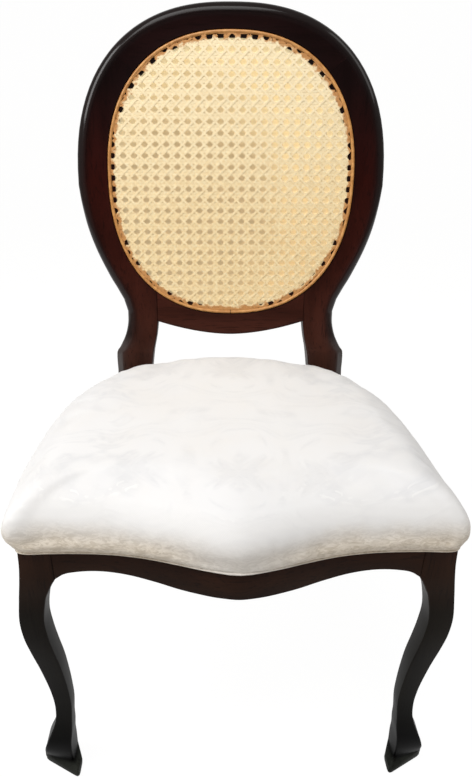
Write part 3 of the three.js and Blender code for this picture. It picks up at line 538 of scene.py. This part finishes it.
post_face, sweep, post_width, taper, thinning = leg_face + 0.401, 0.056, 0.056, 0.026, 0.004
for height, rake, narrower, thinner in rear_leg_rows:
    front = post_face + rake * sweep
    width, depth = post_width - narrower * taper, post_thick - thinner * thinning
    outer, inner = (narrow_half, 0), np.array([narrow_half - width, 0])
    section = moulded(outer, inner, 0, depth) + plain_side(inner, outer, 0, depth)
    neck_rings.append([(p[0], front + behind, height * leg_height) for p, behind in section])
coarse = np.array(neck_rings)
fine = smooth(coarse.reshape(len(coarse), -1), 4).reshape(-1, *coarse.shape[1:])
post_rings = [np.array(r) for r in oval_rings] + list(fine)
for name, side in (("left", -1), ("right", 1)):
    post = drawn(name + "_post", [ring * (side, 1, 1) for ring in post_rings], marks=toning)
    finish(post, lacquer["upright"], "mahogany", name + "_back_post")

rings, joint_turn = [], crest_turn + 0.0003
for turn in np.linspace(joint_turn, math.pi - joint_turn, 57):
    section = moulded(oval(rim, 0, turn), oval(opening, 0, turn), 1, thick)
    section += cane_side(lambda grow: oval(opening, grow, turn))
    rings.append(set_on_back(section))
crest = drawn("crest", rings, marks=toning)
finish(crest, lacquer["across"], "mahogany", "crest_rail")

rings, glue_line, lowest, arch = [], 0.0001, 0.061, 0.021
for x in np.linspace(-joint_x + glue_line, joint_x - glue_line, 41):
    base = lowest + arch * abs(x / joint_x) ** 1.8

    def over_rail(grow, x=x):
        reach = (1 - (abs(x) / (opening["half"] + grow)) ** opening["square"]) ** (1 / opening["square"])
        return np.array([x, opening["middle"] - (opening["down"] + grow) * reach])
    top = over_rail(0)[1]
    section = [((x, base + arris), thick), ((x, base), thick - arris), ((x, base), 0.0058),
               ((x, base + 0.0007), 0.0042), ((x, base + 0.0022), 0.0036)]
    section += [((x, base + (top - base) * part), fall) for part, fall in
                ((0.2, 0.0039), (0.5, 0.0043), (0.8, 0.0045), (0.97, band_fall))]
    rings.append(set_on_back(section + cane_side(over_rail)))
lower = drawn("lower_rail", rings, marks=np.array([0.5] * 3 + [0.3] * 2 + [0.05] * 4 + [0.6] * 10))
finish(lower, lacquer["across"], "mahogany", "lower_back_rail")


# Cane. Split rattan woven as in pressed webbing: pairs of strands up and across, and single ones on
# both slants, which leave eight-sided holes. Its edge is pressed into the groove by the spline.
half_length, point_gap = 0.46, 0.0053


def strands(name, lines, width, height):
    """Flat strands along straight lines in the back's plane, clipped by the groove."""
    curve = bpy.data.curves.new(name, "CURVE")
    curve.dimensions = "3D"
    curve.twist_mode = "Z_UP"
    curve.extrude, curve.bevel_depth, curve.bevel_resolution = width / 2 - height / 2, height / 2, 0
    edge, power = 0.002 - groove, opening["square"]
    for start, way, lift in lines:
        spots = []
        for s in np.arange(-half_length, half_length, point_gap):
            x, up = start[0] + way[0] * s, start[1] + way[1] * s
            rise = (opening["up"] if up > 0 else opening["down"]) + edge
            if (abs(x) / (opening["half"] + edge)) ** power + (abs(up) / rise) ** power < 1:
                spots.append((x, up, lift(s)))
        if len(spots) > 2:
            spline = curve.splines.new("POLY")
            spline.points.add(len(spots) - 1)
            for point, spot in zip(spline.points, spots):
                point.co = (*spot, 1)
                point.tilt = math.pi / 2
    net = bpy.data.objects.new(name, curve)
    bpy.context.scene.collection.objects.link(net)
    bpy.ops.object.select_all(action="DESELECT")
    net.select_set(True)
    bpy.context.view_layer.objects.active = net
    bpy.ops.object.convert(target="MESH")
    net = bpy.context.object
    for vertex in net.data.vertices:
        x, up, front = vertex.co
        vertex.co = on_back(x, opening["middle"] + up, lip_level - 0.0008 - front)
    return net


pitch_x, pitch_up = 0.0161, 0.0155
cane = Finish(bpy.data.materials.new("rattan"))
spot = cane.coordinates()
fibre = cane.noise(spot, 240, 4, 0.6)
tone = cane.noise(spot, 7, 2)
veins = (cane.noise(spot, 95, 3, 0.55, 1.6) - 0.5).size()
straw = cane.blend(fibre.between(0.3, 0.7), (0.85, 0.63, 0.32), (0.98, 0.79, 0.46))
rise = cane.parts(spot)[2]
straw = cane.blend(rise.between(0.60, 0.90) * 0.6 + tone * 0.15, straw, (1.0, 0.87, 0.60))
straw = cane.blend((1 - veins.between(0.004, 0.022)) * 0.5, straw, (1.0, 0.92, 0.67))
cracks = (cane.noise(spot, 60, 4, 0.6, 2.2) - 0.47).size()
straw = cane.blend((1 - cracks.between(0.002, 0.012)) * 0.35, straw, (0.62, 0.44, 0.22))
aged = cane.written("rim") + (cane.noise(spot, 130, 3) - 0.5) * 1.1
straw = cane.blend(aged.between(0.22, 0.50) * 0.95, straw, (0.55, 0.25, 0.075))
cane.surface(Base_Color=straw, Roughness=0.5 + 0.2 * fibre, Specular_IOR_Level=0.3,
             Normal=cane.bump(fibre, 0.0003, 0.5))
pair, wide, narrow, thin = 0.0020, 0.0039, 0.0034, 0.0004
weave = math.pi / pitch_up
uprights, crossings, slants = [], [], []
for i in range(-12, 13):
    for aside in (-pair, pair):
        uprights.append((((i + 0.5) * pitch_x + aside, 0), (0, 1),
                         lambda s, i=i: 0.0001 * math.cos(weave * s + i * math.pi)))
for i in range(-14, 14):
    for aside in (-pair, pair):
        crossings.append(((0, (i + 0.5) * pitch_up + aside), (1, 0),
                          lambda s, i=i: 0.0004 + 0.0001 * math.cos(weave * s + i * math.pi)))
length = math.hypot(pitch_x, pitch_up)
for i in range(-26, 27):
    for way in (1, -1):
        slants.append(((i * pitch_x, pitch_up / 2), (way * pitch_x / length, pitch_up / length),
                       lambda s, way=way: 0.0008 + 0.0002 * way * math.cos(weave * s * 0.7)))
nets = [strands("cane_uprights", uprights, wide, thin), strands("cane_crossings", crossings, wide, thin),
        strands("cane_slants", slants, narrow, thin)]
bpy.ops.object.select_all(action="DESELECT")
for net in nets:
    net.select_set(True)
bpy.context.view_layer.objects.active = nets[0]
bpy.ops.object.join()
webbing = bpy.context.object
webbing.name = "cane_net"
bpy.ops.object.shade_smooth_by_angle(angle=math.radians(30))
centre = Vector(on_back(0, opening["middle"], 0))
up_way = Vector(on_back(0, 1, 0)) - Vector(on_back(0, 0, 0))
rims, power, stained = [], opening["square"], 0.016
for vertex in webbing.data.vertices:
    up = (vertex.co - centre).dot(up_way)
    rise = opening["up"] if up > 0 else opening["down"]
    share = ((abs(vertex.co.x) / opening["half"]) ** power + (abs(up) / rise) ** power) ** (1 / power)
    rims.append(max(0, 1 - (1 - share) * opening["half"] / stained))
kept = webbing.data.attributes.new("rim", "FLOAT", "POINT")
kept.data.foreach_set("value", np.array(rims))
finish(webbing, cane.owner, "cane", "cane_webbing")


# Spline. One length of round reed, soaked, bent round the groove and glued over the cane's edge, with
# a butt joint at the bottom.
def bead(name, points, across, height):
    """A rounded strip that follows a row of points and stands on them along given directions."""
    rings = []
    for place, aside, out in points:
        place, aside, out = np.array(place), np.array(aside), np.array(out)
        rings.append([place + aside * across * math.cos(a) + out * height * max(math.sin(a), -0.4)
                      for a in np.linspace(0, 2 * math.pi, 13)[:-1]])
    return drawn(name, rings)


reed = Finish(bpy.data.materials.new("split_reed"))
spot = reed.coordinates()
streak = reed.noise(spot, 120, 4)
tan = reed.blend(streak.between(0.3, 0.75), (0.48, 0.21, 0.055), (0.72, 0.37, 0.12))
reed.surface(Base_Color=tan, Roughness=0.38, Specular_IOR_Level=0.4,
             Normal=reed.bump(streak, 0.0003, 0.4))
front_way = np.array(on_back(0, 0, -1)) - np.array(on_back(0, 0, 0))
points, butt, reed_half, reed_rise = [], 0.001, 0.0027, 0.0030
for turn in np.linspace(butt - math.pi / 2, 1.5 * math.pi - butt, 181):
    p, q = oval(opening, -groove / 2, turn), oval(opening, -groove / 2 + 0.001, turn)
    aside = np.array(on_back(*q, 0)) - np.array(on_back(*p, 0))
    points.append((on_back(*p, lip_level), aside / np.linalg.norm(aside), front_way))
ring = bead("reed_ring", points, reed_half, reed_rise)
finish(ring, reed.owner, "reed", "reed_spline")


# Lining. A plain tan cotton stretched behind the cane, so that the holes look tan and not white. A
# gimp of two cords plaited together is glued over its edge in the step at the back.
cotton = Finish(bpy.data.materials.new("cotton_lining"))
spot = cotton.coordinates()
aside, back, rise = cotton.parts(spot)
threads = (aside * 5200).sine() * 0.5 + (rise * 5200).sine() * 0.5
slub = cotton.noise(spot, 60, 4)
# Away from a patch left of the middle, the lining turns paler and yellower, and paler still towards the
# top: painted light that makes the shade in the holes vanish there.
far = ((aside + 0.06) * 8.3) * ((aside + 0.06) * 8.3) + ((rise - 0.68) * 6.2) * ((rise - 0.68) * 6.2)
painted_light_mask = (far + (cotton.noise(spot, 9, 3) - 0.5) * 1.6).between(0.45, 1.6)
cloth = cotton.blend(slub.between(0.3, 0.7), (0.66, 0.57, 0.38), (0.74, 0.63, 0.43))
painted_light_tan = cotton.blend(rise.between(0.55, 0.80), (0.90, 0.755, 0.47), (0.97, 0.87, 0.60))
cloth = cotton.blend(painted_light_mask, cloth, painted_light_tan)
# The lining and its gimp glow faintly in their own colour: painted light that lifts the shade in the
# holes.
cotton.surface(Base_Color=cloth, Roughness=0.9, Specular_IOR_Level=0.2, Emission_Color=cloth,
               Emission_Strength=0.34, Normal=cotton.bump(threads, 0.0002, 0.4))
lining_front = rebate + 0.0003
shares = [0.04, 0.3, 0.55, 0.75, 0.9, 1.0]
heart = np.array([0, opening["middle"]])


def oval_round(share, behind, grow):
    """A ring of the opening's shape, drawn in to a share of its size."""
    edge = [heart + (oval(opening, grow, turn) - heart) * share
            for turn in np.linspace(0, 2 * math.pi, 97)[:-1]]
    return [on_back(x, up, behind) for x, up in edge]


lining_edge, lining_thick, hollow = -0.0079, 0.0009, 0.0012
rings = []
for share, behind in [(q, 0) for q in shares] + [(q, lining_thick) for q in shares[::-1]]:
    rings.append(oval_round(share, lining_front + behind + hollow * (1 - share ** 2), lining_edge))
lining = drawn("lining_cloth", rings)
finish(lining, cotton.owner, "lining", "back_lining")
flat = np.array([oval(opening, lining_edge, turn) for turn in np.linspace(0, 2 * math.pi, 97)[:-1]])

gimp_middle, gimp_front, plait = lining_edge - 0.0035, lining_front + 0.0043, 0.0019
for name, phase in (("gimp_cord_a", 0), ("gimp_cord_b", math.pi)):
    points = []
    for turn in np.linspace(0.01, 2 * math.pi - 0.01, 721):
        swing = turn * 75 + phase
        p = oval(opening, gimp_middle + plait * math.sin(swing), turn)
        q = oval(opening, gimp_middle + plait * math.sin(swing) + 0.001, turn)
        way = np.array(on_back(*q, 0)) - np.array(on_back(*p, 0))
        place = on_back(*p, gimp_front + 0.0012 + 0.0004 * math.cos(swing))
        points.append((place, way / np.linalg.norm(way), -front_way))
    cord = bead(name, points, 0.0016, 0.0010)
    finish(cord, cotton.owner, "reed", "lining_gimp")


# Seat. A foam pad on a board, covered in off-white damask that is drawn tight over the crown, turned
# under and stapled, with a thin welt round its lower edge.
pad_half, pad_reach, pad_depth, pad_bottom = 0.254, 0.047, 0.461, 0.3943
pad_rise, pad_tuck, pad_short = 0.079, 0.068, 0.0010
pad_plan = [
    (0.000, 0.000), (0.140, 0.015), (0.280, 0.039), (0.420, 0.061), (0.560, 0.074), (0.700, 0.079),
    (0.840, 0.079), (0.930, 0.077), (0.975, 0.083), (0.994, 0.102), (1.000, 0.140), (1.000, 0.220),
    (0.998, 0.330), (0.988, 0.450), (0.968, 0.565), (0.930, 0.680), (0.866, 0.780), (0.792, 0.862),
    (0.705, 0.918), (0.600, 0.955), (0.320, 0.990), (0.000, 1.000),
]
pad_section = [
    (0.170, 0.000), (0.110, 0.030), (0.042, 0.125), (0.000, 0.270), (0.010, 0.415), (0.100, 0.580),
    (0.240, 0.730), (0.420, 0.840), (0.680, 0.915), (1.100, 0.965), (2.200, 0.995), (3.20, 1.000),
]
plan = np.array([(x * pad_half, y * pad_depth - pad_reach) for x, y in pad_plan])
plan = np.concatenate([plan, plan[-2:0:-1] * (-1, 1)])
plan = smooth(np.concatenate([plan[-2:], plan, plan[:2]]), 3)[6:-4]
plan_middle = np.array([0, pad_depth / 2 - pad_reach])


def pad_ring(inset, z):
    share = 1 - inset / pad_half
    return [(x, y + leg_face, z) for x, y in plan_middle + (plan - plan_middle) * share]


def plump(piece, held_below, reach, voxel=0.006, steps=20):
    """Fills a piece with air as a cloth, holds what lies below a height, and keeps every point
    within reach of where it was."""
    bpy.ops.object.select_all(action="DESELECT")
    piece.select_set(True)
    bpy.context.view_layer.objects.active = piece
    remesh = piece.modifiers.new("even", "REMESH")
    remesh.mode, remesh.voxel_size = "VOXEL", voxel
    bpy.ops.object.modifier_apply(modifier="even")
    tacked = piece.vertex_groups.new(name="tacked")
    tacked.add([v.index for v in piece.data.vertices if v.co.z < held_below], 1, "REPLACE")
    before = np.array([v.co for v in piece.data.vertices])
    cloth = piece.modifiers.new("cover", "CLOTH")
    cloth.settings.vertex_group_mass = "tacked"
    cloth.settings.quality, cloth.settings.mass = 5, 0.3
    cloth.settings.tension_stiffness = cloth.settings.compression_stiffness = 18
    cloth.settings.bending_stiffness = 1.5
    cloth.settings.use_pressure, cloth.settings.uniform_pressure_force = True, 4
    cloth.settings.effector_weights.gravity = 0
    cloth.point_cache.frame_start, cloth.point_cache.frame_end = 1, steps
    for frame_number in range(1, steps + 1):
        bpy.context.scene.frame_set(frame_number)
    bpy.ops.object.modifier_apply(modifier="cover")
    bpy.context.scene.frame_set(1)
    after = np.array([v.co for v in piece.data.vertices])
    moved = after - before
    far = np.linalg.norm(moved, axis=1, keepdims=True)
    after = before + moved * np.minimum(1, reach / np.maximum(far, 1e-9))
    piece.data.vertices.foreach_set("co", after.ravel())
    fine = piece.modifiers.new("fine", "SUBSURF")
    fine.levels = fine.render_levels = 1
    bpy.ops.object.modifier_apply(modifier="fine")
    bpy.ops.object.shade_smooth()


rings = []
for inset, height in smooth(pad_section, 2):
    short = pad_short * min(1, max(0, (height - 0.05) / 0.2))
    rings.append(pad_ring(inset * pad_tuck + short, pad_bottom + height * pad_rise - short * height))
cushion = drawn("seat_cushion", rings, 60)
plump(cushion, pad_bottom + 0.005, 0.004)


def step(value):
    """A smooth step from 0 to 1 while a value goes from 0 to 1."""
    value = min(1, max(0, value))
    return value * value * (3 - 2 * value)


places = np.zeros(len(cushion.data.vertices) * 3)
outward = places.copy()
cushion.data.vertices.foreach_get("co", places)
cushion.data.vertices.foreach_get("normal", outward)
# Puckers low down, a little unevenness all over, and the stance of a used pad: wider than its board,
# leaning to the left, and falling away towards the posts.
placed = []
for (x, y, z), normal in zip(places.reshape(-1, 3), outward.reshape(-1, 3)):
    height = (z - pad_bottom) / pad_rise
    around = math.atan2(y - leg_face - 0.18, x)
    crease = noise.noise(Vector((around * 26, 3.1, height * 3.0)))
    fold = noise.noise(Vector((around * 9, 7.7, height * 2.2)))
    low = max(0, min(1, (height - 0.03) / 0.12)) * max(0, 1 - height / 0.62)
    sunk = (0.0015 * crease + 0.0014 * fold) * low
    uneven = 0.0007 * noise.noise(Vector((x * 16, y * 16, z * 16))) * min(1, height * 8)
    full = step((height - 0.025) / 0.30)
    frontward = 1 - step((y - leg_face + 0.02) / 0.12)
    widened = x * (0.014 + 0.005 * frontward) * full
    leaning = (0.0072 - 0.0052 * frontward) * full
    place = np.array([x, y, z]) + normal * (sunk + uneven)
    rearward = step((y - leg_face - 0.18) / 0.22)
    crowned = 0.9 * math.exp(-(x / 0.12) ** 2) - 2.2 * step(abs(x) / 0.22)
    lift = 0.0036 * rearward * crowned * step(height / 0.8)
    placed.append(place + (widened - leaning, 0, lift))
cushion.data.vertices.foreach_set("co", np.array(placed).ravel())
cushion.data.update()

damask = Finish(bpy.data.materials.new("damask"))
spot = damask.coordinates()
across, deep, rise = damask.parts(spot)
sway = damask.noise(spot, 6, 2) * 0.12
repeat_across, repeat_deep = 0.105, 0.14
turned = damask.node("ShaderNodeCombineXYZ", {}, {
    0: (across.size() - rise * 0.9 + sway) % repeat_across,
    1: (deep + rise * 0.9 + sway) % repeat_deep,
})
leaves = damask.noise(turned, 9, 3, 0.6, 1.5).between(0.43, 0.56)
veins = damask.noise(turned, 52, 2, 0.5, 0.8).between(0.45, 0.55)
figure = leaves * (1 - veins * 0.4)
threads = (across * 4200).sine() * (deep * 4200).sine()
mottle = damask.noise(spot, 13, 3)
woven = damask.blend(figure, (0.822, 0.824, 0.832), (0.745, 0.750, 0.765))
woven = damask.blend(mottle.between(0.4, 0.7) * 0.4, woven, (0.815, 0.800, 0.785))
# Near-white flecks in the figure, strongest on the roll and sides below the crown: painted glints.
painted_glint = damask.noise(turned, 70, 2, 0.5, 0.6).between(0.57, 0.62) * leaves
painted_glint = painted_glint * ((1 - rise.between(0.463, 0.468)) * 0.35 + 0.08)
woven = damask.blend(painted_glint, woven, (0.95, 0.95, 0.94))
# Below the crown, the cover is made lighter: painted light on the front and sides.
woven = damask.blend((1 - rise.between(0.440, 0.466)) * 0.75, woven, (0.935, 0.932, 0.928))
# Low on the cover, most at the sides and half as much at the middle front, the cloth turns a darker,
# warmer beige, darkest in the crinkles: painted shade. The same zone also takes the crinkle bump of
# small puckers.
crinkle = damask.noise(damask.coordinates(scale=(0.7, 0.7, 1.7)), 130, 3, 0.6, 1.6)
painted_shade_beige = damask.blend(crinkle.between(0.38, 0.62), (0.66, 0.58, 0.47), (0.85, 0.77, 0.66))
painted_shade_and_puckers = ((rise * -1 + 0.441) * 30 + (mottle - 0.5) * 0.7).between(0, 1)
painted_shade_and_puckers = painted_shade_and_puckers * (across.size().between(0.01, 0.10) * 0.5 + 0.5)
woven = damask.blend(painted_shade_and_puckers, woven, painted_shade_beige)
damask.surface(Base_Color=woven, Roughness=0.66 - 0.24 * figure, Specular_IOR_Level=0.42,
               Normal=damask.bump(threads * 0.3 + figure + crinkle * painted_shade_and_puckers * 5, 0.00018, 0.6))
finish(cushion, damask.owner, "damask", "seat_cover", "seat_foam")


# Welt. A thin cord in the same damask, sewn along the lower edge of the cover and closed at the back
# with a butt.
def tube(name, points, radius):
    """A round cord along a row of points, each with a way aside and a way up."""
    rings, turns = [], np.linspace(0, 2 * math.pi, 11)[:-1]
    for place, aside, up in points:
        place, aside, up = np.array(place), np.array(aside), np.array(up)
        rings.append([place + (aside * math.cos(a) + up * math.sin(a)) * radius for a in turns])
    return drawn(name, rings, 60)


welt_radius, welt_inset = 0.0014, 0.0088
edge = np.array(pad_ring(welt_inset, pad_bottom + welt_radius))
start = int(np.argmax(edge[:, 1]))
edge = np.roll(edge, -start - 1, axis=0)
points = []
for before, place, after in zip(np.roll(edge, 1, axis=0), edge, np.roll(edge, -1, axis=0)):
    way = (after - before) / np.linalg.norm(after - before)
    points.append((place, np.array([way[1], -way[0], 0]), np.array([0, 0, 1])))
welt = tube("seat_piping", points, welt_radius)
finish(welt, damask.owner, "damask", "seat_welt")


# Dust cover. Black cambric stapled to the underside of the board, inside the turned-in damask.
cambric = Finish(bpy.data.materials.new("black_cambric"))
spot = cambric.coordinates()
across, deep, rise = cambric.parts(spot)
grid = (across * 4800).sine() * (deep * 4800).sine()
dusty = cambric.noise(spot, 14, 4)
black = cambric.blend(dusty.between(0.3, 0.75), (0.012, 0.012, 0.014), (0.030, 0.029, 0.031))
cambric.surface(Base_Color=black, Roughness=0.92, Specular_IOR_Level=0.2,
                Normal=cambric.bump(grid, 0.0002, 0.5))
low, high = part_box("dust_cover")
shares = [0.05, 0.3, 0.55, 0.75, 0.88, 0.96, 1.0]
dust_inset, dust_sag = 0.0193, 0.0022
outline = np.array(pad_ring(dust_inset, 0))
middle = np.array([0, plan_middle[1] + leg_face, 0])
rings = []
for share, drop in [(q, 0) for q in shares] + [(q, 1) for q in shares[::-1]]:
    sag = dust_sag * (1 - share ** 2) ** 2
    z = high.z - drop * (high.z - low.z) - sag
    rings.append([(*(middle + (p - middle) * share)[:2], z) for p in outline])
under = drawn("dust_cloth", rings)
finish(under, cambric.owner, "cambric", "dust_cover")


# Inside the frame. Beech blocks and dowels, a plywood board, steel screws and nylon glides keep the
# solids' own shapes.
beech = Finish(bpy.data.materials.new("beech"))
spot = beech.coordinates(scale=(1, 1, 0.2))
grain = beech.noise(spot, 60, 4)
flecks = beech.noise(spot, 500, 2)
pale = beech.blend(grain.between(0.3, 0.7), (0.42, 0.24, 0.11), (0.58, 0.37, 0.19))
pale = beech.blend(flecks.between(0.6, 0.7) * 0.4, pale, (0.26, 0.13, 0.06))
beech.surface(Base_Color=pale, Roughness=0.62, Specular_IOR_Level=0.3,
              Normal=beech.bump(grain, 0.0003, 0.5))

plywood = Finish(bpy.data.materials.new("plywood"))
spot = plywood.coordinates(scale=(0.2, 1, 1))
grain = plywood.noise(spot, 42, 5)
plies = (plywood.parts(spot)[2] * 1900).sine().between(-0.2, 0.2)
face = plywood.blend(grain.between(0.3, 0.7), (0.46, 0.30, 0.14), (0.62, 0.44, 0.24))
face = plywood.blend(plies * 0.3, face, (0.33, 0.19, 0.09))
plywood.surface(Base_Color=face, Roughness=0.7, Specular_IOR_Level=0.3,
                Normal=plywood.bump(grain, 0.0003, 0.5))

steel = Finish(bpy.data.materials.new("zinc_steel"))
spot = steel.coordinates()
spangle = steel.noise(spot, 320, 3)
zinc = steel.blend(spangle.between(0.3, 0.7), (0.42, 0.40, 0.34), (0.58, 0.56, 0.50))
steel.surface(Base_Color=zinc, Metallic=1.0, Roughness=0.3 + 0.2 * spangle,
              Normal=steel.bump(spangle, 0.0002, 0.4))

nylon = Finish(bpy.data.materials.new("nylon"))
spot = nylon.coordinates()
scuffs = nylon.noise(spot, 260, 4)
brown = nylon.blend(scuffs.between(0.4, 0.7), (0.022, 0.018, 0.016), (0.060, 0.052, 0.046))
nylon.surface(Base_Color=brown, Roughness=0.5 + 0.2 * scuffs, Normal=nylon.bump(scuffs, 0.0002, 0.4))

for name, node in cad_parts.items():
    for ending, material in (("dowel", beech), ("block", beech), ("board", plywood), ("screw", steel),
                             ("glide", nylon)):
        if ending in name:
            node.data.materials.clear()
            node.data.materials.append(material.owner)

size = {"cad": cad_box, "visual": [list(corner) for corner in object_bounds()]}
